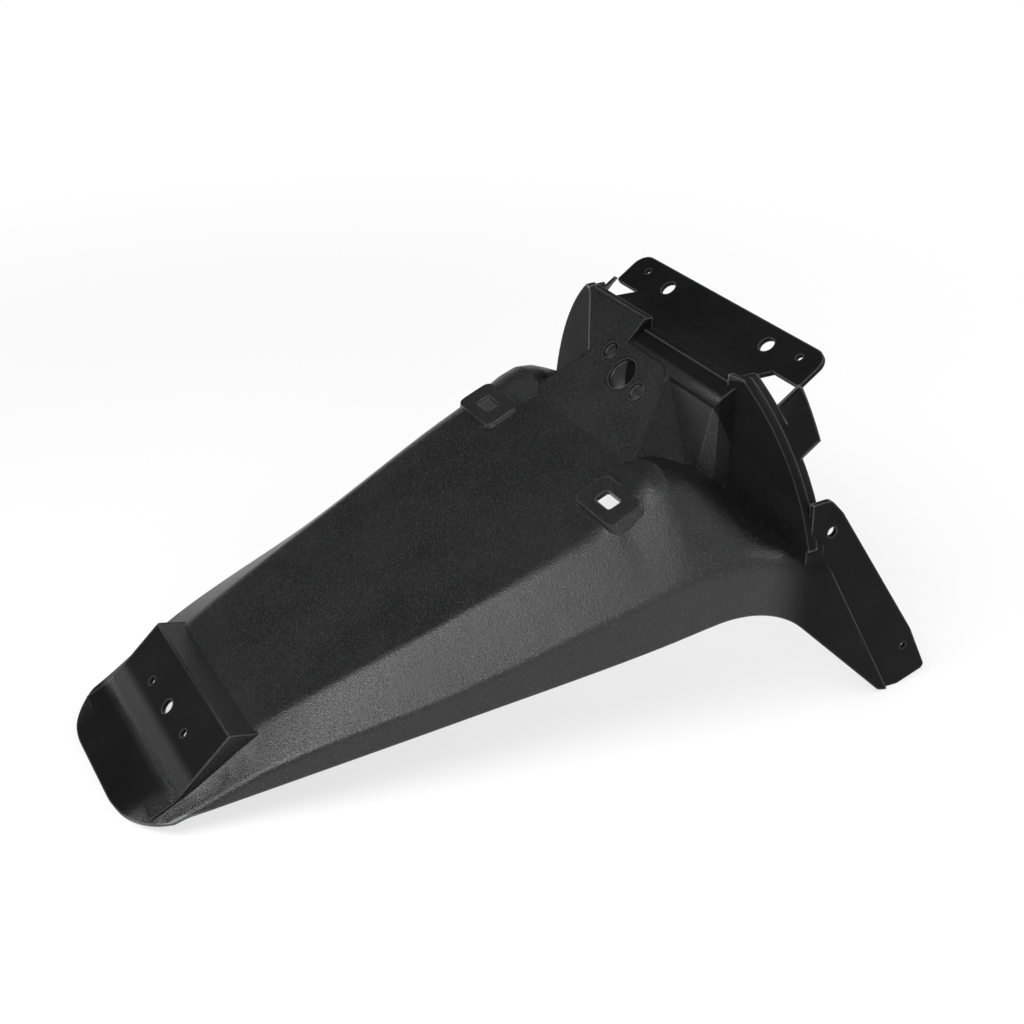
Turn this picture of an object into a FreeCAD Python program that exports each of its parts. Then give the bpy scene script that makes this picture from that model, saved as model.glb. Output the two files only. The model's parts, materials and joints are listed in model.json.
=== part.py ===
"""Rear fender of a motorcycle: one moulded plastic shell, open underneath and at the front.

Frame: +X is the rider's right, +Y the front of the machine, +Z up. The fender rests on the rim
of its tail and on the tips of its two legs, and the origin is under the middle of its box.
Each hollow form is made twice, once at its outer size and once inset by the wall, and the
fender is the outer forms less the inner ones.
"""
import FreeCAD
import Part
import math
import os
from collections import namedtuple

Vec = FreeCAD.Vector
Station = namedtuple("Station", "y crown flat_half hump crown_half crown_r crease crease_half crease_r")

# Plastic wall, and how far cutting forms run past what they cut
wall = 3.0
overcut = 60.0

# Blade: a flat crown that climbs to the front, a bevel down each side, and a low side wall
blade_pitch = 21.9
crown_z = 122.2
crown_half = 84.5
crown_taper = 0.175
crease_half = 117.5
crease_taper = 0.213
side_draft = 0.03

station_count = 50
tongue_bevel = 3.0
block_rear_y = -207.0
block_front_y = -165.0
block_bevel = 9.0
middle_y = -58.0
middle_bevel = 24.0
pads_y = 49.7
pads_crown_half = 87.0
pads_half = 126.5
pads_bevel = 30.0

# Roundings of the crown's edge and of the crease, and rise of the crown's edge, along the stations
crown_radii = (40.0, 36.0, 20.0, 8.0, 24.0, 32.0, 36.0, 30.0, 30.0)
crease_radii = (4.5, 4.5, 4.5, 5.0, 6.5, 12.0, 14.0, 18.0, 18.0)
blade_hump = 0.02
pads_hump = 1.0

# Shoulders and legs, at the front of the channel
hump_y = 82.0
hump_half = 131.0
hump_bevel = 35.0
shoulder_y = 104.0
shoulder_z = 146.0
shoulder_half = 134.5
shoulder_crown_half = 79.0
shoulder_bevel = 24.0
shoulder_hump = 10.5
arch_hump = 5.0
arch_bevel = 4.0
leg_bevel = 8.0
flat_share = 0.62
arch_low_half = 137.0
arch_low_z = 119.0
leg_lean = 0.045
leg_tip_half = 143.7
leg_half = leg_tip_half - wall
leg_tip_y = 214.0
leg_toe_run = 8.0
leg_toe_rise = 2.5
leg_bend_y = 118.0
leg_bend_z = 92.0
leg_bend_r = 60.0
crease_top_y = 150.0

# Tail: rounded tongue behind the reflector block, with a rim that stands on the floor
tail_y = -238.7
tail_z = 13.6
tail_half = 64.0
tail_flare = 0.32
tail_corner_r = 52.0
tongue_drop = 7.0
rim_y = -208.0
rim_r = 40.0

# Reflector block on the tail
block_half = 61.0
block_ridge_y = -178.6
block_ridge_z = 60.0
block_face_pitch = 42.2
block_ramp_pitch = 16.0
block_ramp_run = 28.0
block_ridge_r = 2.0
block_cove_r = 22.0
block_cove_run = 14.0
block_cove_sink = 0.6
block_hole_d = 8.5
block_hole_drop = 22.0
block_pin_d = 5.0
block_pin_half = 27.6

# Lamp pads on the blade
pad_half_x = 19.5
pad_x = 70.5
pad_length = 24.5
pad_rise = 3.0
pad_depth = 15.0
pad_flare = 8.0
pad_corner_r = 5.0
slot_length = 15.0
slot_width = 9.0
slot_corner_r = 2.0

# Bracket tower: a panel at 45 degrees with three holes
panel_y = 72.2
panel_z = 151.1
panel_half = 61.4
panel_top_half = 29.4
panel_top_z = 195.0
panel_corner_r = 14.0
panel_step_x = -14.5
tower_top_half = 77.7
tower_top_z = 207.0
tower_neck_half = 38.9
tower_neck_z = 182.4
tower_foot_z = 110.0
lead_hole_d = 20.5
lead_hole_z = 182.3
screw_hole_d = 11.5
screw_hole_x = (-22.0, 19.5)
screw_hole_z = (188.0, 179.4)

# Hood beside the tower
hood_half = 78.0
hood_foot_y = 101.6
hood_ridge_y = 115.5
hood_ridge_z = 193.5
hood_ridge_r = 9.0
hood_top_y = 130.0
hood_top_z = 200.4
hood_front_y = 134.0
hood_facet_x = 60.0
hood_facet_y = (90.0, 117.6)

# Gusset webs and the lip of the arch
web_x = 78.0
web_y = 128.0
arch_low_y = 141.0
arch_top_half = 80.5
arch_top_z = 206.0
arch_bulge = 9.0
lip_depth = 12.0
lip_bead = 1.5
lip_bead_depth = 6.0
tab_high_z = 191.0
tab_low_z = 166.0
tab_length = 17.0

# Top flange
flange_half = 94.0
flange_neck_half = 70.0
flange_y = 159.7
flange_z = 199.3
flange_pitch = 33.8
flange_length = 25.6
flange_corner_r = 10.0
bolt_hole_d = 10.0
bolt_hole_half = 50.6
bolt_hole_run = 12.6
rivet_hole_d = 4.5
rivet_hole_half = 77.3
rivet_hole_run = 15.8

# Leg flange
leg_step = 1.8
leg_foot_run = 31.0
leg_foot_z = 6.0
leg_knee = (229.0, 39.0)
leg_top = (166.0, 137.0)
leg_peak = (157.0, 147.0)
leg_root = (144.0, 128.0)
leg_screw_d = 6.5
leg_screw = (159.1, 126.1)
leg_clip_d = 4.5
leg_clip = (224.7, 28.0)

pitch = math.radians(blade_pitch)
slope = math.tan(pitch)
rim_z = tail_z + slope * (rim_y - tail_y)


def crown_at(y):
    """Height of the crown's plane over a station."""
    return crown_z + slope * y


def inset_polygon(points, insets):
    """Closed counter-clockwise polygon with edge i moved inwards by insets[i]."""
    count = len(points)
    lines = []
    for i in range(count):
        ax, ay = points[i]
        bx, by = points[(i + 1) % count]
        length = math.hypot(bx - ax, by - ay)
        dx = (bx - ax) / length
        dy = (by - ay) / length
        lines.append((ax - dy * insets[i], ay + dx * insets[i], dx, dy))
    moved = []
    for i in range(count):
        px, py, pdx, pdy = lines[i - 1]
        qx, qy, qdx, qdy = lines[i]
        cross = pdx * qdy - pdy * qdx
        along = ((qx - px) * qdy - (qy - py) * qdx) / cross
        moved.append((px + pdx * along, py + pdy * along))
    return moved


def rounded_wire(points, radii):
    """Closed wire through points with a tangent arc of radii[i] at each corner."""
    count = len(points)
    starts = []
    ends = []
    tops = []
    for i in range(count):
        here = points[i]
        if radii[i] <= 0:
            starts.append(here)
            ends.append(here)
            tops.append(None)
            continue
        to_last = (points[i - 1] - here).normalize()
        to_next = (points[(i + 1) % count] - here).normalize()
        half = to_last.getAngle(to_next) / 2
        reach = radii[i] / math.tan(half)
        bisector = (to_last + to_next).normalize()
        starts.append(here + to_last * reach)
        ends.append(here + to_next * reach)
        tops.append(here + bisector * (radii[i] / math.sin(half) - radii[i]))
    edges = []
    for i in range(count):
        if tops[i] is not None:
            edges.append(Part.Arc(starts[i], tops[i], ends[i]).toShape())
        edges.append(Part.LineSegment(ends[i], starts[(i + 1) % count]).toShape())
    return Part.Wire(edges)


def prism(points, radii, direction):
    """Solid swept straight from a rounded outline."""
    return Part.Face(rounded_wire(points, radii)).extrude(direction)


def across(points, radii, left, right):
    """Solid with an outline in Y and Z, from x = left to x = right."""
    return prism([Vec(left, y, z) for y, z in points], radii, Vec(right - left, 0, 0))


def along(points, radii, back, front):
    """Solid with an outline in X and Z, from y = back to y = front."""
    return prism([Vec(x, back, z) for x, z in points], radii, Vec(0, front - back, 0))


def upright(points, low, high):
    """Solid with a plan in X and Y, from z = low to z = high."""
    return prism([Vec(x, y, low) for x, y in points], [0] * len(points), Vec(0, 0, high - low))


def mirrored(shape):
    """Left-hand copy of a right-hand form."""
    return shape.mirror(Vec(0, 0, 0), Vec(1, 0, 0))


def both_sides(shape):
    """A right-hand form with its left-hand copy."""
    return Part.makeCompound([shape, mirrored(shape)])


def through(y, places, values):
    """Smooth value at y through given places, without overshoot between them."""
    count = len(places)
    steps = [places[i + 1] - places[i] for i in range(count - 1)]
    rises = [(values[i + 1] - values[i]) / steps[i] for i in range(count - 1)]
    slopes = [rises[0]]
    for i in range(1, count - 1):
        same_way = rises[i - 1] * rises[i] > 0
        slopes.append(2 * rises[i - 1] * rises[i] / (rises[i - 1] + rises[i]) if same_way else 0.0)
    slopes.append(rises[-1])
    i = max(k for k in range(count - 1) if k == 0 or places[k] <= y)
    t = (y - places[i]) / steps[i]
    start = (1 + 2 * t) * (1 - t) ** 2 * values[i] + t * (1 - t) ** 2 * steps[i] * slopes[i]
    end = t * t * (3 - 2 * t) * values[i + 1] - t * t * (1 - t) * steps[i] * slopes[i + 1]
    return start + end


def channel_stations():
    """Cross-sections of the channel from behind the tail to past the legs."""
    places = [tail_y - 10, block_rear_y, block_front_y, middle_y, pads_y,
              hump_y, shoulder_y, arch_low_y, leg_tip_y + 20]
    blade = [crown_half + crown_taper * y for y in places[:4]]
    flank = [crease_half + crease_taper * y for y in places[:4]]
    top = [crown_at(y) for y in places[:6]]
    crown = [top[0] - tongue_drop, top[1] - tongue_drop] + top[2:]
    crown += [shoulder_z, arch_low_z + 2, arch_low_z - 7]
    half = blade + [pads_crown_half] + [shoulder_crown_half] * 4
    outer = flank + [pads_half, hump_half, shoulder_half, arch_low_half + 1.5, leg_half]
    bevel = [tongue_bevel, tongue_bevel + 1, block_bevel, middle_bevel, pads_bevel,
             hump_bevel, shoulder_bevel, arch_bevel, leg_bevel]
    hump = [blade_hump] * 4 + [pads_hump] + [shoulder_hump] * 2 + [arch_hump] * 2
    rows = []
    for k in range(station_count + 1):
        y = places[0] + (places[-1] - places[0]) * k / station_count
        top_z = through(y, places, crown)
        crown_x = through(y, places, half)
        rows.append(Station(y, top_z, crown_x * flat_share, through(y, places, hump), crown_x,
                            through(y, places, crown_radii), top_z - through(y, places, bevel),
                            through(y, places, outer), through(y, places, crease_radii)))
    return rows


def channel(inset):
    """Long arched body of the fender, open underneath."""
    floor = -20.0
    wires = []
    for s in channel_stations():
        foot = s.crease_half + side_draft * (s.crease - floor)
        outline = [(foot, floor), (s.crease_half, s.crease), (s.crown_half, s.crown + s.hump),
                   (s.flat_half, s.crown), (-s.flat_half, s.crown), (-s.crown_half, s.crown + s.hump),
                   (-s.crease_half, s.crease), (-foot, floor)]
        outline = inset_polygon(outline, [inset] * 7 + [-inset])
        crown_r = s.crown_r - inset
        crease_r = s.crease_r - inset
        radii = [0, crease_r, crown_r, 0, 0, crown_r, crease_r, 0]
        wires.append(rounded_wire([Vec(x, s.y, z) for x, z in outline], radii))
    return Part.makeLoft(wires, True, True)


def tail_form(inset):
    """Everything in front of the tail's rounded end wall, which is square to the blade."""
    reach = 700.0
    front_half = tail_half + tail_flare * reach
    plan = [(-tail_half, tail_y), (tail_half, tail_y),
            (front_half, tail_y + reach), (-front_half, tail_y + reach)]
    plan = inset_polygon(plan, [inset, inset, 0, inset])
    points = [Vec(x, y + slope * overcut, tail_z - overcut) for x, y in plan]
    corner = tail_corner_r - inset
    return prism(points, [corner, corner, 0, 0], Vec(0, -slope, 1) * 400)


def side_form():
    """Side view of the channel: the rim, the lower edge and the legs."""
    back = tail_y - 30
    back_z = rim_z + slope * (back - rim_y)
    points = [(back, back_z), (rim_y, rim_z), (leg_bend_y, leg_bend_z), (leg_tip_y - leg_toe_run, leg_toe_rise),
              (leg_tip_y, 0), (crease_top_y, arch_low_z), (crease_top_y, 300), (back, 300)]
    return across(points, [0, rim_r, leg_bend_r, 6, 0.8, 0, 0, 0], -300, 300)


def block(inset):
    """Reflector block: a sloping face that coves into the tongue, and a short ramp to the front."""
    steep = math.tan(math.radians(block_face_pitch))
    tongue_z = crown_at(block_ridge_y) - tongue_drop - block_cove_sink
    foot_y = block_ridge_y - (block_ridge_z - tongue_z) / (steep - slope)
    foot_z = block_ridge_z - steep * (block_ridge_y - foot_y)
    rear_y = foot_y - block_cove_run
    front_y = block_ridge_y + block_ramp_run
    ramp_z = block_ridge_z - block_ramp_run * math.tan(math.radians(block_ramp_pitch))
    rear_z = foot_z - slope * block_cove_run
    profile = [(rear_y, rear_z - wall), (front_y, ramp_z - 3 * wall), (front_y, ramp_z),
               (block_ridge_y, block_ridge_z), (foot_y, foot_z), (rear_y, rear_z)]
    profile = inset_polygon(profile, [-inset, inset, inset, inset, inset, inset])
    half = block_half - inset
    radii = [0, 0, 0, max(0, block_ridge_r - inset), block_cove_r + inset, 0]
    return across(profile, radii, -half, half)


def pad(inset):
    """Right-hand lamp pad: a flat top with flared sides, laid on the blade."""
    wires = []
    for depth, flare in ((inset, 0.0), (pad_depth, pad_flare)):
        half_x = pad_half_x + flare - inset
        half_y = pad_length / 2 + flare * 0.45 - inset
        corner = pad_corner_r + flare * 0.3
        points = [Vec(-half_x, -half_y, -depth), Vec(half_x, -half_y, -depth),
                  Vec(half_x, half_y, -depth), Vec(-half_x, half_y, -depth)]
        wires.append(rounded_wire(points, [corner] * 4))
    shape = Part.makeLoft(wires, True, True)
    shape.Placement = pad_placement()
    return shape


def pad_placement():
    """Frame of the right-hand pad's top: X across the blade, Y up its slope."""
    turn = FreeCAD.Rotation(Vec(1, 0, 0), blade_pitch)
    return FreeCAD.Placement(Vec(pad_x, pads_y, crown_at(pads_y) + pad_rise), turn)


def tower(inset):
    """Tower behind the flange, with the three-hole panel as its rear face."""
    side = (panel_half - panel_top_half) / (panel_top_z - panel_z)
    foot_half = panel_half + side * (panel_z - tower_foot_z)
    outline = [(foot_half, tower_foot_z), (panel_top_half, panel_top_z),
               (panel_step_x, panel_top_z), (panel_step_x, tower_top_z),
               (-tower_top_half, tower_top_z), (-tower_neck_half, tower_neck_z),
               (-foot_half, tower_foot_z)]
    outline = inset_polygon(outline, [inset] * 6 + [-inset])
    front = hood_front_y
    body = along(outline, [0, panel_corner_r - inset, 0, 0, 0, 0, 0], -20, front + inset)
    rear = panel_z - panel_y
    low = tower_foot_z - overcut
    wedge = [(low - rear, low), (front + overcut, low), (front + overcut, front + overcut + rear)]
    wedge = inset_polygon(wedge, [0, 0, inset])
    return body.common(across(wedge, [0, 0, 0], -300, 300))


def hood(inset):
    """Hood to the right of the panel: a steep rear wall, a rounded ridge and a low roof."""
    profile = [(hood_foot_y, tower_foot_z), (hood_front_y, tower_foot_z), (hood_front_y, hood_top_z),
               (hood_top_y, hood_top_z), (hood_ridge_y, hood_ridge_z)]
    profile = inset_polygon(profile, [-inset, -inset, inset, inset, inset])
    left = panel_step_x - 6
    rear_y, side_y = hood_facet_y
    plan = [(left, rear_y), (hood_facet_x, rear_y), (hood_half, side_y), (hood_half, 200), (left, 200)]
    plan = inset_polygon(plan, [0, inset, inset, 0, 0])
    body = across(profile, [0, 0, 0, 0, hood_ridge_r - inset], left, hood_half + overcut)
    return body.common(upright(plan, 0, 300))


def arch_arc():
    """Ends, centre, radius and outward direction of the arch's right-hand arc."""
    top = Vec(arch_top_half, 0, arch_top_z)
    low = Vec(arch_low_half, 0, arch_low_z)
    chord = low - top
    radius = (chord.Length ** 2 / 4 + arch_bulge ** 2) / (2 * arch_bulge)
    outward = Vec(-chord.z, 0, chord.x).normalize()
    centre = (top + low) * 0.5 + outward * (arch_bulge - radius)
    return top, low, centre, radius, outward


def web_slab(near, far):
    """Space between two upright planes parallel to the right-hand gusset web."""
    run = Vec(arch_low_half - web_x, arch_low_y - web_y, 0).normalize()
    ahead = Vec(-run.y, run.x, 0)
    foot = Vec(web_x, web_y, 0)
    corners = [foot - run * 100 + ahead * near, foot + run * 150 + ahead * near,
               foot + run * 150 + ahead * far, foot - run * 100 + ahead * far]
    return upright([(c.x, c.y) for c in corners], -50, 300)


def arch_region(inset, inner_x, low_z):
    """Space under the arch's right half, from a plane at inner_x out to the arc."""
    top, low, centre, radius, outward = arch_arc()
    start = centre + (top - centre).normalize() * (radius - inset)
    end = centre + (low - centre).normalize() * (radius - inset)
    middle = centre + outward * (radius - inset)
    arc = Part.Arc(start, middle, end).toShape()
    corners = [end, Vec(end.x, 0, low_z), Vec(inner_x, 0, low_z), Vec(inner_x, 0, start.z), start]
    sides = [Part.LineSegment(corners[i], corners[i + 1]).toShape() for i in range(4)]
    face = Part.Face(Part.Wire([arc] + sides))
    return face.extrude(Vec(0, 400, 0))


def arch_strip(grow, high_z, low_z):
    """Strip of the arch's wall between two heights, swept along Y and grown outwards."""
    shell = arch_region(-grow, 0, 0).cut(arch_region(wall, -1, -1))
    inner = arch_top_half - wall
    window = along([(inner, low_z), (300, low_z), (300, high_z), (inner, high_z)], [0] * 4, -10, 500)
    return shell.common(window)


def side_tab():
    """Tab that leans forward and up from the arch's lip."""
    lean = math.radians(flange_pitch)
    strip = arch_strip(0, tab_high_z, tab_low_z)
    section = strip.common(upright([(0, 0), (300, 0), (300, 1), (0, 1)], 0, 300))
    face = [f for f in section.Faces if abs(f.normalAt(0, 0).y) > 0.99 and f.CenterOfMass.y > 0.5][0]
    start = web_y + lip_depth + 6
    face.translate(Vec(0, start - 1, 0))
    return face.extrude(Vec(0, math.cos(lean), math.sin(lean)) * tab_length)


def leg_flange():
    """Flange down the front of the right leg."""
    tip = leg_tip_y
    root_y, root_z = leg_root
    points = [(tip - 4, 1.5), (tip + 9, 0.3), (tip + leg_foot_run, leg_foot_z), leg_knee, leg_top,
              leg_peak, (root_y, leg_peak[1]), (root_y, root_z), (crease_top_y - 8, arch_low_z)]
    plate = across(points, [0, 3, 3, 8, 6, 6, 0, 0, 0], 60, 200)
    face = leg_tip_half - leg_step
    top_face = face - leg_lean * 200
    lean = [(face, 0), (top_face, 200), (top_face - wall, 200), (face - wall, 0)]
    return plate.common(along(lean, [0] * 4, 60, 300))


def flange_frame(x, run):
    """Point on the top flange's upper face."""
    lean = math.radians(flange_pitch)
    return Vec(x, flange_y + run * math.cos(lean), flange_z + run * math.sin(lean))


def flange_normal():
    """Upward normal of the top flange."""
    lean = math.radians(flange_pitch)
    return Vec(0, -math.sin(lean), math.cos(lean))


def top_flange():
    """Top flange with the neck that joins it to the hood."""
    corners = [flange_frame(-flange_half, 0), flange_frame(flange_half, 0),
               flange_frame(flange_half, flange_length), flange_frame(-flange_half, flange_length)]
    plate = prism(corners, [2, 2, flange_corner_r, flange_corner_r], flange_normal() * -wall)
    neck = [(hood_top_y - 2, hood_top_z - wall), (flange_y + 2.5, flange_z - wall),
            (flange_y + 1, flange_z + 0.6), (flange_y, flange_z), (hood_top_y - 2, hood_top_z)]
    return plate.fuse(across(neck, [0] * 5, -flange_neck_half, flange_neck_half))


def drill(centre, axis, diameter):
    """Cutter for a round hole through a wall."""
    return Part.makeCylinder(diameter / 2, 2 * overcut / 4, centre - axis * overcut / 4, axis)


def hole_cutters():
    """All holes and slots."""
    cutters = []
    face = math.radians(block_face_pitch)
    block_axis = Vec(0, -math.sin(face), math.cos(face))
    hole_y = block_ridge_y - block_hole_drop * math.cos(face)
    hole_z = block_ridge_z - block_hole_drop * math.sin(face)
    for x, d in ((0, block_hole_d), (block_pin_half, block_pin_d), (-block_pin_half, block_pin_d)):
        cutters.append(drill(Vec(x, hole_y, hole_z), block_axis, d))
    panel_axis = Vec(0, -1, 1).normalize()
    rear = panel_z - panel_y
    cutters.append(drill(Vec(0, lead_hole_z - rear, lead_hole_z), panel_axis, lead_hole_d))
    for x, z in zip(screw_hole_x, screw_hole_z):
        cutters.append(drill(Vec(x, z - rear, z), panel_axis, screw_hole_d))
    normal = flange_normal()
    for side in (-1, 1):
        cutters.append(drill(flange_frame(side * bolt_hole_half, bolt_hole_run), normal, bolt_hole_d))
        cutters.append(drill(flange_frame(side * rivet_hole_half, rivet_hole_run), normal, rivet_hole_d))
        for (y, z), d in ((leg_screw, leg_screw_d), (leg_clip, leg_clip_d)):
            cutters.append(drill(Vec(side * (leg_tip_half - leg_lean * z), y, z), Vec(1, 0, 0), d))
    ends = slot_length / 2
    half = slot_width / 2
    corners = [Vec(-ends, -half, -overcut / 4), Vec(ends, -half, -overcut / 4),
               Vec(ends, half, -overcut / 4), Vec(-ends, half, -overcut / 4)]
    slot = prism(corners, [slot_corner_r] * 4, Vec(0, 0, overcut / 2))
    slot.Placement = pad_placement()
    cutters += [slot, mirrored(slot)]
    return cutters


def fender():
    """The whole fender as one solid."""
    channel_outer = channel(0).common(tail_form(0)).common(side_form())
    channel_inner = channel(wall).common(tail_form(wall))
    outer = channel_outer.fuse([block(0), pad(0), mirrored(pad(0)), tower(0), hood(0)])
    inner = channel_inner.fuse([block(wall), pad(wall), mirrored(pad(wall)), tower(wall), hood(wall)])
    shell = outer.cut(inner)
    hollow = [tower(wall), hood(wall), channel_inner]
    low_z = arch_low_z - 14
    open_front = arch_region(wall, web_x, low_z).common(web_slab(wall, 200))
    shell = shell.cut(both_sides(open_front))
    shell = shell.cut(along([(-web_x, low_z), (web_x, low_z), (web_x, 300), (-web_x, 300)],
                            [0] * 4, hood_front_y, 400))
    right_web = arch_region(0, web_x - 2 * wall, tower_foot_z).common(web_slab(0, wall))
    left_web = arch_region(0, tower_neck_half / 2, tower_foot_z).common(web_slab(0, wall))
    webs = Part.makeCompound([right_web, mirrored(left_web)]).cut(hollow)
    lip = arch_strip(0, arch_top_z, arch_low_z - 12).common(web_slab(0, lip_depth))
    bead = arch_strip(lip_bead, arch_top_z, arch_low_z).common(web_slab(0, lip_bead_depth))
    added = [webs, both_sides(lip), both_sides(bead), both_sides(leg_flange()), both_sides(side_tab()),
             top_flange()]
    for form in added:
        shell = shell.fuse(form)
    for cutter in hole_cutters():
        shell = shell.cut(cutter)
    return shell


def set_down(shape):
    """Fender turned about its leg tips until the tail's rim meets the floor, over the origin."""
    tilt = math.degrees(math.atan2(tail_z, leg_tip_y - tail_y))
    shape.rotate(Vec(0, leg_tip_y, 0), Vec(1, 0, 0), tilt)
    box = shape.optimalBoundingBox(False)
    shape.translate(Vec(0, -box.Center.y, -box.ZMin))
    return shape


os.makedirs("parts", exist_ok=True)
result = set_down(fender().Solids[0])
box = result.optimalBoundingBox(False)
print("valid", result.isValid(), "volume", round(result.Volume / 1000, 1), "box", box)
result.exportStep("parts/rear_fender.step")
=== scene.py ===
"""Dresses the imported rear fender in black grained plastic, under soft studio light on a pale floor."""

import json
import logging
import math
from dataclasses import dataclass, field
from enum import Enum

import bmesh
import bpy
from mathutils import Matrix, Vector


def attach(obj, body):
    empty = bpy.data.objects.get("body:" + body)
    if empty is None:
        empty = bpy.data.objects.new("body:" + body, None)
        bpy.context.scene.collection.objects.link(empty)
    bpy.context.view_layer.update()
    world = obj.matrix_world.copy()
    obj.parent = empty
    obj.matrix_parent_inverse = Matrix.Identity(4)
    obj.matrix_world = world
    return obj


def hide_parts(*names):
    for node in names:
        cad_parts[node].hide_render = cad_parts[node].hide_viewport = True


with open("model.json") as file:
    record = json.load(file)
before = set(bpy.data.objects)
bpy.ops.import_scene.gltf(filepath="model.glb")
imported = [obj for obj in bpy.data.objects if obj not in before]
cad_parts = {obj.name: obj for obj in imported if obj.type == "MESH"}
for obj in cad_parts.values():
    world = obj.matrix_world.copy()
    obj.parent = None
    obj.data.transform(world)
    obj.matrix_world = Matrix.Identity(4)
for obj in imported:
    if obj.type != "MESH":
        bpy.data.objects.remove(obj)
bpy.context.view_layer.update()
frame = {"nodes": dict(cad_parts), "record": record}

log = logging.getLogger("rear_fender")
MM = 0.001
MERGE = 0.01 * MM
BODY = "root"

Colour = tuple[float, float, float, float]
Triple = tuple[float, float, float]
Span = tuple[float, float]
NodeSocket = bpy.types.NodeSocket


class Socket(str, Enum):
    """Names of the shader sockets that the plastic sets."""

    COLOUR = "Base Color"
    ROUGHNESS = "Roughness"
    SPECULAR = "Specular IOR Level"
    NORMAL = "Normal"


class Ray(str, Enum):
    """Kinds of ray that see the floor as white."""

    CAMERA = "Is Camera Ray"
    GLOSSY = "Is Glossy Ray"
    TRANSMISSION = "Is Transmission Ray"


class MixSocket(int, Enum):
    """Places of a colour mix's sockets, which share their names with those of other mixes."""

    SHARE = 0
    FIRST = 6
    SECOND = 7
    RESULT = 2


class NodeBench:
    """Short calls for building one node tree."""

    def __init__(self, tree: bpy.types.NodeTree) -> None:
        """Clears the tree and keeps it.

        Args:
            tree: The material's or world's tree.
        """
        self.tree = tree
        self.tree.nodes.clear()

    def node(self, kind: str, **settings: object) -> bpy.types.Node:
        """Adds a node and sets its plain properties.

        Args:
            kind: Blender's name for the node type.
            **settings: Properties to set on the node.

        Returns:
            The new node.
        """
        made = self.tree.nodes.new(kind)
        for name, value in settings.items():
            setattr(made, name, value)
        return made

    def feed(self, socket: NodeSocket, value: object) -> None:
        """Sets a socket to a value or links it to another socket.

        Args:
            socket: The input to feed.
            value: A plain value, or the output to link from.
        """
        if isinstance(value, NodeSocket):
            self.tree.links.new(value, socket)
        else:
            socket.default_value = value

    def math(self, operation: str, first: object, second: object = 0.0) -> NodeSocket:
        """Adds a math node.

        Args:
            operation: The node's operation.
            first: A socket or a number for the first input.
            second: A socket or a number for the second input.

        Returns:
            The node's value output.
        """
        made = self.node("ShaderNodeMath", operation=operation)
        for socket, value in zip(made.inputs, (first, second)):
            self.feed(socket, value)
        return made.outputs[0]

    def noise(self, place: NodeSocket, scale: float, detail: float = 2.0, octave: float = 0.5) -> NodeSocket:
        """Adds a noise texture.

        Args:
            place: Coordinates that the pattern lies on.
            scale: Pattern repeats per metre.
            detail: Octaves of finer noise.
            octave: Share that each finer octave keeps.

        Returns:
            The noise value, from 0 to 1.
        """
        made = self.node("ShaderNodeTexNoise")
        settings = {"Vector": place, "Scale": scale, "Detail": detail, "Roughness": octave}
        for name, value in settings.items():
            self.feed(made.inputs[name], value)
        return made.outputs[0]

    def ramp(self, value: NodeSocket, source: Span, result: Span = (0.0, 1.0)) -> NodeSocket:
        """Maps a range of values smoothly onto another, held at both ends.

        Args:
            value: The value to map.
            source: The range it comes from.
            result: The values at the two ends of that range.

        Returns:
            The mapped value.
        """
        made = self.node("ShaderNodeMapRange", interpolation_type="SMOOTHSTEP")
        self.feed(made.inputs["Value"], value)
        for name, number in zip(("From Min", "From Max", "To Min", "To Max"), source + result):
            made.inputs[name].default_value = number
        return made.outputs[0]

    def blend(self, share: NodeSocket, first: object, second: object) -> NodeSocket:
        """Mixes two colours.

        Args:
            share: How much of the second colour shows.
            first: A colour or a colour socket.
            second: A colour or a colour socket.

        Returns:
            The mixed colour.
        """
        made = self.node("ShaderNodeMix", data_type="RGBA")
        self.feed(made.inputs[MixSocket.SHARE.value], share)
        self.feed(made.inputs[MixSocket.FIRST.value], first)
        self.feed(made.inputs[MixSocket.SECOND.value], second)
        return made.outputs[MixSocket.RESULT.value]


@dataclass(frozen=True)
class Side:
    """One side of a plane: where x, y and z lean past an offset, with |x| for x on a mirrored one."""

    lean: Triple
    offset: float
    soft: float = 1.5 * MM
    mirrored: bool = True

    def share(self, bench: NodeBench, place: NodeSocket, folded: NodeSocket) -> NodeSocket:
        """Builds the share of a point that lies past the plane.

        Args:
            bench: The material's node bench.
            place: Object coordinates.
            folded: Object coordinates with |x| in place of x.

        Returns:
            0 before the plane and 1 past it.
        """
        dot = bench.node("ShaderNodeVectorMath", operation="DOT_PRODUCT")
        bench.feed(dot.inputs[0], folded if self.mirrored else place)
        bench.feed(dot.inputs[1], self.lean)
        return bench.ramp(dot.outputs["Value"], (self.offset, self.offset + self.soft))


@dataclass(frozen=True)
class Zone:
    """A matt place on the moulding: what lies past all of its planes."""

    name: str
    sides: tuple[Side, ...]


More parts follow.
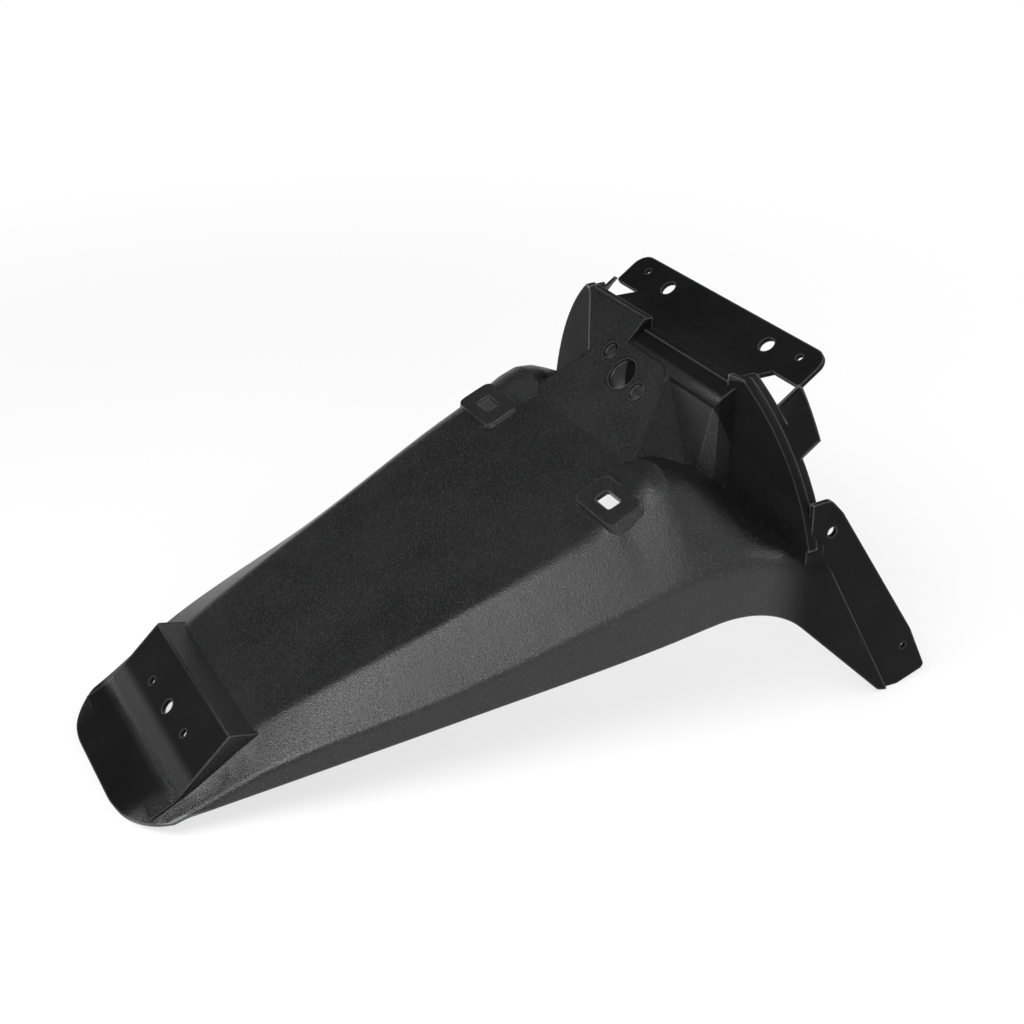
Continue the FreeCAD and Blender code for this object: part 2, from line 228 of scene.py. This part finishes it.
@dataclass(frozen=True)
class TowerPanel:
    """Outer face of the tower's sloping panel, through the middle of its lead hole."""

    point: Vector
    outward: Vector

    @classmethod
    def from_record(cls, mount_name: str = "panel_lead_hole") -> "TowerPanel":
        """Reads the panel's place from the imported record.

        Args:
            mount_name: The mount that lies on the panel.

        Returns:
            The panel.
        """
        mount = next(item for item in frame["record"]["mounts"] if item["name"] == mount_name)
        return cls(Vector(mount["pos_m"]), Vector(mount["axis"]).normalized())

    def height(self, place: Vector) -> float:
        """Height of a point over the panel, on its outer side."""
        return (place - self.point).dot(self.outward)

    def spot(self, across: float, up: float) -> Vector:
        """A point on the panel, so far across from the lead hole and so far up the slope."""
        slope = self.outward.cross(Vector((1.0, 0.0, 0.0)))
        return self.point + Vector((across, 0.0, 0.0)) + slope * up

    def behind(self, depth: float) -> Side:
        """What lies deeper than a given depth inside the panel."""
        return Side(tuple(-self.outward), depth - self.point.dot(self.outward))


PANEL = TowerPanel.from_record()


@dataclass(frozen=True)
class BlackPlastic:
    """Black moulded plastic: spark-eroded grain on the blade and walls, plain and matt in the zones.

    Specks lie on the grain, every outer edge is painted pale as a highlight, and the edges are polished by
    handling.
    """

    name: str = "black_plastic"
    grain_dark: Colour = (0.0045, 0.0047, 0.0047, 1.0)
    grain_pale: Colour = (0.0078, 0.0080, 0.0078, 1.0)
    speck_pale: Colour = (0.026, 0.027, 0.027, 1.0)
    matt_dark: Colour = (0.0045, 0.0046, 0.0047, 1.0)
    matt_pale: Colour = (0.0075, 0.0076, 0.0076, 1.0)
    # Painted highlight: the pale colour laid on outer edges, standing in for light glinting on their
    # rounding.
    painted_edge_highlight: Colour = (0.075, 0.077, 0.078, 1.0)
    grain_specular: float = 0.5
    matt_specular: float = 0.07
    grain_rough: float = 0.33
    matt_rough: float = 0.55
    cloud_rough: float = 0.06
    edge_polish: float = 0.11
    cloud_scale: float = 21.0
    cloud_detail: float = 4.0
    cloud_octave: float = 0.55
    cloud_span: Span = (0.32, 0.68)
    speck_span: Span = (0.52, 0.72)
    edge_reach: float = 1.6 * MM
    edge_samples: int = 8
    # Edge sharpness over which the painted edge highlight fades in.
    edge_highlight_span: Span = (0.12, 0.55)
    rubbed_span: Span = (0.0, 0.15)
    fine_scale: float = 1700.0
    fine_detail: float = 1.0
    coarse_scale: float = 850.0
    coarse_detail: float = 2.0
    coarse_octave: float = 0.6
    coarse_share: float = 1.4
    grain_height: float = 0.15 * MM
    grain_strength: float = 1.0
    matt_strength: float = 0.25
    zones: tuple[Zone, ...] = (
        Zone("webs_and_lip", (
            Side((-0.22, 1.0, 0.03), 108.5 * MM),
            Side((0.0, 0.0, 1.0), 112.0 * MM),
            PANEL.behind(1.42 * MM),
        )),
        Zone("left_web_beside_tower", (
            Side((-1.0, 0.0, 0.0), 45.0 * MM, mirrored=False),
            Side((0.0, 1.0, 0.0), 110.0 * MM),
            PANEL.behind(1.42 * MM),
        )),
        Zone("flanges", (
            Side((0.0, 0.866, 0.5), 185.5 * MM),
            PANEL.behind(1.42 * MM),
        )),
        Zone("leg_walls", (
            Side((0.0, 1.0, 0.0), 100.0 * MM, 50.0 * MM),
            Side((0.0, 0.0, -1.0), -116.0 * MM),
        )),
        Zone("hood_top", (
            PANEL.behind(3.22 * MM),
            Side((0.0, 0.0, 1.0), 185.0 * MM, 6.0 * MM),
        )),
        Zone("reflector_block_face", (
            Side((0.0, -1.0, 0.0), 181.5 * MM),
            Side((-1.0, 0.0, 0.0), -60.5 * MM),
            Side((0.0, -0.4374, 1.0), 113.5 * MM, 4.0 * MM),
        )),
        Zone("tail_tongue", (
            Side((0.0, -1.0, 0.0), 212.0 * MM, 8.0 * MM),
            Side((-1.0, 0.0, 0.0), -56.0 * MM, 16.0 * MM, mirrored=False),
        )),
    )

    def build(self) -> bpy.types.Material:
        """Makes the material.

        Returns:
            The finished material.
        """
        material = bpy.data.materials.new(self.name)
        material.use_nodes = True
        bench = NodeBench(material.node_tree)
        place = bench.node("ShaderNodeTexCoord").outputs["Object"]
        matt = self.matt_share(bench, place)
        slow = bench.noise(place, self.cloud_scale, self.cloud_detail, self.cloud_octave)
        clouds = bench.ramp(slow, self.cloud_span)
        edge = self.edge_sharpness(bench)
        rubbed = bench.ramp(edge, self.rubbed_span)
        made = {
            Socket.COLOUR: self.colour(bench, place, matt, clouds, edge),
            Socket.SPECULAR: bench.ramp(matt, (0.0, 1.0), (self.grain_specular, self.matt_specular)),
            Socket.ROUGHNESS: self.roughness(bench, matt, clouds, rubbed),
            Socket.NORMAL: self.grain(bench, place, matt, rubbed),
        }
        shader = bench.node("ShaderNodeBsdfPrincipled")
        for socket, value in made.items():
            bench.feed(shader.inputs[socket.value], value)
        out = bench.node("ShaderNodeOutputMaterial")
        bench.feed(out.inputs["Surface"], shader.outputs[0])
        return material

    def matt_share(self, bench: NodeBench, place: NodeSocket) -> NodeSocket:
        """Where the plain matt finish lies.

        Args:
            bench: The material's node bench.
            place: Object coordinates.

        Returns:
            1 in a matt zone and 0 on the grained surfaces.
        """
        parts = bench.node("ShaderNodeSeparateXYZ")
        bench.feed(parts.inputs[0], place)
        folded = bench.node("ShaderNodeCombineXYZ")
        bench.feed(folded.inputs[0], bench.math("ABSOLUTE", parts.outputs[0]))
        bench.feed(folded.inputs[1], parts.outputs[1])
        bench.feed(folded.inputs[2], parts.outputs[2])
        share = None
        for zone in self.zones:
            inside = None
            for side in zone.sides:
                past = side.share(bench, place, folded.outputs[0])
                inside = past if inside is None else bench.math("MINIMUM", inside, past)
            share = inside if share is None else bench.math("MAXIMUM", share, inside)
        return share

    def edge_sharpness(self, bench: NodeBench) -> NodeSocket:
        """How sharp an outer edge is here: how much other faces close in, seen from inside the plastic.

        Args:
            bench: The material's node bench.

        Returns:
            0 away from edges, and up to about a half on a square edge.
        """
        probe = bench.node("ShaderNodeAmbientOcclusion", inside=True, only_local=True)
        probe.samples = self.edge_samples
        probe.inputs["Distance"].default_value = self.edge_reach
        return bench.math("SUBTRACT", 1.0, probe.outputs["AO"])

    def colour(self, bench: NodeBench, place: NodeSocket, matt: NodeSocket, clouds: NodeSocket,
               edge: NodeSocket) -> NodeSocket:
        """Colour of both finishes, with specks on the grain and a painted pale highlight on the outer edges.

        Args:
            bench: The material's node bench.
            place: Object coordinates.
            matt: Share of the matt finish.
            clouds: Slow noise from 0 to 1.
            edge: Sharpness of an outer edge.

        Returns:
            The colour.
        """
        specks = bench.ramp(bench.noise(place, self.coarse_scale, self.coarse_detail), self.speck_span)
        ground = bench.blend(clouds, self.grain_dark, self.grain_pale)
        grained = bench.blend(specks, ground, self.speck_pale)
        plain = bench.blend(clouds, self.matt_dark, self.matt_pale)
        # Painted highlight: outer edges are coloured pale, standing in for the glint of light on their
        # rounding.
        edge_highlight_share = bench.ramp(edge, self.edge_highlight_span)
        return bench.blend(edge_highlight_share, bench.blend(matt, grained, plain), self.painted_edge_highlight)

    def roughness(self, bench: NodeBench, matt: NodeSocket, clouds: NodeSocket,
                  rubbed: NodeSocket) -> NodeSocket:
        """Roughness of both finishes, a little cloudy, and lower where edges are rubbed.

        Args:
            bench: The material's node bench.
            matt: Share of the matt finish.
            clouds: Slow noise from 0 to 1.
            rubbed: Share of a rubbed edge.

        Returns:
            The roughness.
        """
        base = bench.ramp(matt, (0.0, 1.0), (self.grain_rough, self.matt_rough))
        cloudy = bench.math("ADD", base, bench.math("MULTIPLY", clouds, self.cloud_rough))
        return bench.math("SUBTRACT", cloudy, bench.math("MULTIPLY", rubbed, self.edge_polish))

    def grain(self, bench: NodeBench, place: NodeSocket, matt: NodeSocket, rubbed: NodeSocket) -> NodeSocket:
        """Normal of the grain, which fades on the matt finish and on rubbed edges.

        Args:
            bench: The material's node bench.
            place: Object coordinates.
            matt: Share of the matt finish.
            rubbed: Share of a rubbed edge.

        Returns:
            The bumped normal.
        """
        fine = bench.noise(place, self.fine_scale, self.fine_detail)
        coarse = bench.noise(place, self.coarse_scale, self.coarse_detail, self.coarse_octave)
        height = bench.math("ADD", fine, bench.math("MULTIPLY", coarse, self.coarse_share))
        flat = bench.math("MAXIMUM", matt, rubbed)
        bump = bench.node("ShaderNodeBump")
        bump.inputs["Distance"].default_value = self.grain_height
        strength = bench.ramp(flat, (0.0, 1.0), (self.grain_strength, self.matt_strength))
        bench.feed(bump.inputs["Strength"], strength)
        bench.feed(bump.inputs["Height"], height)
        return bump.outputs["Normal"]


@dataclass
class FenderShell:
    """The moulded shell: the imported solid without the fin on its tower, edges broken and plastic put on."""

    node: str = "rear_fender"
    name: str = "fender_shell"
    edge_radius: float = 0.8 * MM
    edge_segments: int = 2
    edge_angle: float = math.radians(26)
    fin_end: float = -18.5 * MM
    fin_low: float = 186.0 * MM
    corner_digits: int = 5
    finish: BlackPlastic = field(default_factory=BlackPlastic)

    def build(self) -> bpy.types.Object:
        """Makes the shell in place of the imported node.

        Returns:
            The shell's object.
        """
        mesh = frame["nodes"][self.node].data.copy()
        mesh.name = self.name
        self.trim_fin(mesh)
        mesh.materials.clear()
        mesh.materials.append(self.finish.build())
        shell = bpy.data.objects.new(self.name, mesh)
        bpy.context.scene.collection.objects.link(shell)
        self.break_edges(shell)
        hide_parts(self.node)
        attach(shell, BODY)
        return shell

    def trim_fin(self, mesh: bpy.types.Mesh) -> None:
        """Takes off the end of the left web that stands out of the tower's panel, and closes the panel.

        Args:
            mesh: The shell's mesh.
        """
        bm = bmesh.new()
        bm.from_mesh(mesh)
        fin = [face for face in bm.faces if self.on_fin(face)]
        foot = {v.co.to_tuple(self.corner_digits): v.co.copy() for face in fin for v in face.verts
                if PANEL.height(v.co) < MERGE}
        bmesh.ops.delete(bm, geom=fin, context="FACES")
        corners = [bm.verts.new(place) for place in foot.values()]
        patch = bmesh.ops.contextual_create(bm, geom=corners)
        for face in patch["faces"]:
            face.normal_update()
            if face.normal.dot(PANEL.outward) < 0:
                face.normal_flip()
        bm.to_mesh(mesh)
        bm.free()

    def on_fin(self, face: bmesh.types.BMFace) -> bool:
        """Whether a face belongs to the fin: in the panel's upper left corner, and standing out of it.

        Args:
            face: The face to test.

        Returns:
            True on the fin.
        """
        heights = [PANEL.height(v.co) for v in face.verts]
        in_corner = all(v.co.x < self.fin_end and v.co.z > self.fin_low for v in face.verts)
        return in_corner and min(heights) > -MERGE and max(heights) > self.edge_radius

    def break_edges(self, shell: bpy.types.Object) -> None:
        """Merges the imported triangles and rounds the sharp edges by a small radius.

        Args:
            shell: The object to round.
        """
        weld = shell.modifiers.new("weld", "WELD")
        weld.merge_threshold = MERGE
        bevel = shell.modifiers.new("edge_radius", "BEVEL")
        bevel.limit_method = "ANGLE"
        bevel.angle_limit = self.edge_angle
        bevel.width = self.edge_radius
        bevel.segments = self.edge_segments
        bevel.harden_normals = True
        bevel.use_clamp_overlap = True


@dataclass(frozen=True)
class Sleeve:
    """A short collar behind one hole of the tower's panel."""

    name: str
    across: float
    up: float
    bore: float
    depth: float


@dataclass
class TowerSleeves:
    """Collars moulded behind the panel's holes, which give them their dark depth."""

    sleeves: tuple[Sleeve, ...] = (
        Sleeve("lead_sleeve", 0.0, 0.0, 20.5 * MM, 19.0 * MM),
        Sleeve("left_screw_sleeve", -22.0 * MM, 8.065 * MM, 11.5 * MM, 12.0 * MM),
        Sleeve("right_screw_sleeve", 19.5 * MM, -4.103 * MM, 11.5 * MM, 12.0 * MM),
    )
    wall: float = 1.8 * MM
    start: float = 2.6 * MM
    slack: float = 0.15 * MM
    rim_radius: float = 0.5 * MM
    rim_segments: int = 2
    # In square metres. The lead collar's outer rim is past it, so that rim stays sharp.
    rim_limit: float = 1e-6
    steps: int = 48

    def build(self, finish: bpy.types.Material) -> list[bpy.types.Object]:
        """Makes the collars.

        Args:
            finish: The plastic that they are moulded from.

        Returns:
            The collars' objects.
        """
        made = []
        for sleeve in self.sleeves:
            mesh = self.tube(sleeve)
            mesh.materials.append(finish)
            collar = bpy.data.objects.new(sleeve.name, mesh)
            bpy.context.scene.collection.objects.link(collar)
            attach(collar, BODY)
            made.append(collar)
        return made

    def tube(self, sleeve: Sleeve) -> bpy.types.Mesh:
        """Spins a collar's section round the hole's axis and rounds its free end.

        Args:
            sleeve: The collar to make.

        Returns:
            The collar's mesh, in its place.
        """
        axis = -PANEL.outward
        out = axis.orthogonal().normalized()
        centre = PANEL.spot(sleeve.across, sleeve.up)
        inner = sleeve.bore / 2 + self.slack
        outer = inner + self.wall
        section = ((inner, self.start), (outer, self.start), (outer, sleeve.depth), (inner, sleeve.depth))
        bm = bmesh.new()
        corners = [bm.verts.new(centre + out * radius + axis * depth) for radius, depth in section]
        edges = [bm.edges.new(pair) for pair in zip(corners, corners[1:] + corners[:1])]
        bmesh.ops.spin(bm, geom=corners + edges, cent=centre, axis=axis, angle=2 * math.pi,
                       steps=self.steps, use_merge=True)
        bmesh.ops.remove_doubles(bm, verts=bm.verts, dist=MERGE)
        bmesh.ops.recalc_face_normals(bm, faces=bm.faces)
        free_end = sleeve.depth - self.slack
        rim = []
        for edge in bm.edges:
            first, second = (v.co - centre for v in edge.verts)
            along_rim = abs((first - second).dot(first)) < self.rim_limit
            if along_rim and min(first.dot(axis), second.dot(axis)) > free_end:
                rim.append(edge)
        bmesh.ops.bevel(bm, geom=rim, offset=self.rim_radius, affect="EDGES",
                        segments=self.rim_segments, profile=0.5, material=-1)
        mesh = bpy.data.meshes.new(sleeve.name)
        bm.to_mesh(mesh)
        bm.free()
        return mesh


@dataclass(frozen=True)
class Lamp:
    """One soft rectangular lamp."""

    name: str
    place: Triple
    target: Triple
    width: float
    height: float
    power: float

    def build(self) -> bpy.types.Object:
        """Hangs the lamp.

        Returns:
            The lamp's object.
        """
        data = bpy.data.lights.new(self.name, "AREA")
        data.shape = "RECTANGLE"
        data.size = self.width
        data.size_y = self.height
        data.energy = self.power
        lamp = bpy.data.objects.new(self.name, data)
        lamp.location = self.place
        lamp.rotation_mode = "QUATERNION"
        aim = Vector(self.target) - Vector(self.place)
        lamp.rotation_quaternion = aim.to_track_quat("-Z", "Y")
        bpy.context.scene.collection.objects.link(lamp)
        return lamp


@dataclass
class Studio:
    """Pale floor that sweeps up into a low backdrop, soft lamps and a camera at the photograph's angle."""

    floor_radius: float = 20.0
    sweep_radius: float = 1.0
    wall_height: float = 4.0
    sweep_steps: int = 8
    floor_steps: int = 48
    floor_colour: Colour = (0.9, 0.9, 0.9, 1.0)
    white: Colour = (1.0, 1.0, 1.0, 1.0)
    shadow_reach: Span = (0.45, 1.1)
    white_share: Span = (0.72, 1.0)
    world_strength: float = 0.03
    lamps: tuple[Lamp, ...] = (
        Lamp("overhead", (0.34, -0.93, 1.32), (0.06, -0.10, 0.08), 1.1, 0.8, 28.0),
        Lamp("right_high", (0.95, 0.30, 1.35), (0.05, 0.02, 0.08), 0.7, 0.7, 2.2),
        Lamp("left_high", (-1.00, 0.26, 1.40), (0.0, 0.05, 0.12), 0.6, 0.6, 1.1),
        Lamp("right_low", (1.38, -0.12, 0.70), (0.08, -0.02, 0.10), 0.4, 0.4, 3.5),
        Lamp("front", (0.10, 1.55, 0.95), (0.05, 0.08, 0.13), 1.8, 1.0, 22.0),
    )
    camera_place: Triple = (0.68136, -0.374537, 0.547111)
    camera_ahead: Triple = (-0.752265, 0.439098, -0.491214)
    camera_up: Triple = (-0.439275, 0.221613, 0.870589)
    camera_reach: Span = (0.01, 50.0)
    sensor: float = 36.0
    lens: float = 52.734

    def build(self) -> None:
        """Makes the floor, the world, the lamps and the camera."""
        self.make_floor()
        self.make_world()
        for lamp in self.lamps:
            lamp.build()
        self.make_camera()

    def make_floor(self) -> bpy.types.Object:
        """Spins the floor with its low swept backdrop.

        Returns:
            The floor's object.
        """
        bm = bmesh.new()
        profile = [bm.verts.new((0.0, 0.0, 0.0)), bm.verts.new((self.floor_radius, 0.0, 0.0))]
        for step in range(1, self.sweep_steps + 1):
            turn = math.pi / 2 * step / self.sweep_steps
            out = self.floor_radius + self.sweep_radius * math.sin(turn)
            profile.append(bm.verts.new((out, 0.0, self.sweep_radius * (1.0 - math.cos(turn)))))
        profile.append(bm.verts.new((self.floor_radius + self.sweep_radius, 0.0, self.wall_height)))
        edges = [bm.edges.new(pair) for pair in zip(profile, profile[1:])]
        bmesh.ops.spin(bm, geom=profile + edges, cent=(0, 0, 0), axis=(0, 0, 1), angle=2 * math.pi,
                       steps=self.floor_steps, use_merge=True)
        bmesh.ops.remove_doubles(bm, verts=bm.verts, dist=MERGE)
        bmesh.ops.recalc_face_normals(bm, faces=bm.faces)
        mesh = bpy.data.meshes.new("floor")
        bm.to_mesh(mesh)
        bm.free()
        mesh.materials.append(self.floor_material())
        floor = bpy.data.objects.new("floor", mesh)
        bpy.context.scene.collection.objects.link(floor)
        return floor

    def floor_material(self) -> bpy.types.Material:
        """A pale matt floor, which the camera and reflections see as white but for the fender's shadow.

        Returns:
            The floor's material.
        """
        material = bpy.data.materials.new("pale_floor")
        material.use_nodes = True
        bench = NodeBench(material.node_tree)
        matt = bench.node("ShaderNodeBsdfDiffuse")
        matt.inputs["Color"].default_value = self.floor_colour
        glow = bench.node("ShaderNodeEmission")
        glow.inputs["Color"].default_value = self.white
        path = bench.node("ShaderNodeLightPath")
        seen = path.outputs[Ray.CAMERA.value]
        for ray in (Ray.GLOSSY, Ray.TRANSMISSION):
            seen = bench.math("MAXIMUM", seen, path.outputs[ray.value])
        reach = bench.node("ShaderNodeVectorMath", operation="LENGTH")
        bench.feed(reach.inputs[0], bench.node("ShaderNodeTexCoord").outputs["Object"])
        share = bench.ramp(reach.outputs["Value"], self.shadow_reach, self.white_share)
        mix = bench.node("ShaderNodeMixShader")
        bench.feed(mix.inputs[0], bench.math("MULTIPLY", seen, share))
        bench.feed(mix.inputs[1], matt.outputs[0])
        bench.feed(mix.inputs[2], glow.outputs[0])
        out = bench.node("ShaderNodeOutputMaterial")
        bench.feed(out.inputs["Surface"], mix.outputs[0])
        return material

    def make_world(self) -> None:
        """Sets an even dim surround."""
        world = bpy.data.worlds.new("studio")
        bpy.context.scene.world = world
        world.use_nodes = True
        bench = NodeBench(world.node_tree)
        soft = bench.node("ShaderNodeBackground")
        soft.inputs["Color"].default_value = self.white
        soft.inputs["Strength"].default_value = self.world_strength
        out = bench.node("ShaderNodeOutputWorld")
        bench.feed(out.inputs["Surface"], soft.outputs[0])

    def make_camera(self) -> bpy.types.Object:
        """Makes the camera at the photograph's place.

        Returns:
            The camera's object.
        """
        data = bpy.data.cameras.new("camera")
        data.sensor_width = self.sensor
        data.lens = self.lens
        data.clip_start, data.clip_end = self.camera_reach
        camera = bpy.data.objects.new("camera", data)
        ahead = Vector(self.camera_ahead).normalized()
        right = ahead.cross(Vector(self.camera_up)).normalized()
        up = right.cross(ahead)
        turn = Matrix((right, up, -ahead)).transposed().to_4x4()
        camera.matrix_world = Matrix.Translation(self.camera_place) @ turn
        bpy.context.scene.collection.objects.link(camera)
        bpy.context.scene.camera = camera
        return camera


def main() -> None:
    """Builds the dressed fender and its studio."""
    logging.basicConfig(level=logging.INFO, format="%(name)s: %(message)s")
    bpy.context.scene.view_settings.view_transform = "Standard"
    shell = FenderShell().build()
    log.info("dressed %s", shell.name)
    for collar in TowerSleeves().build(shell.data.materials[0]):
        log.info("made %s", collar.name)
    Studio().build()


if __name__ == "__main__":
    main()
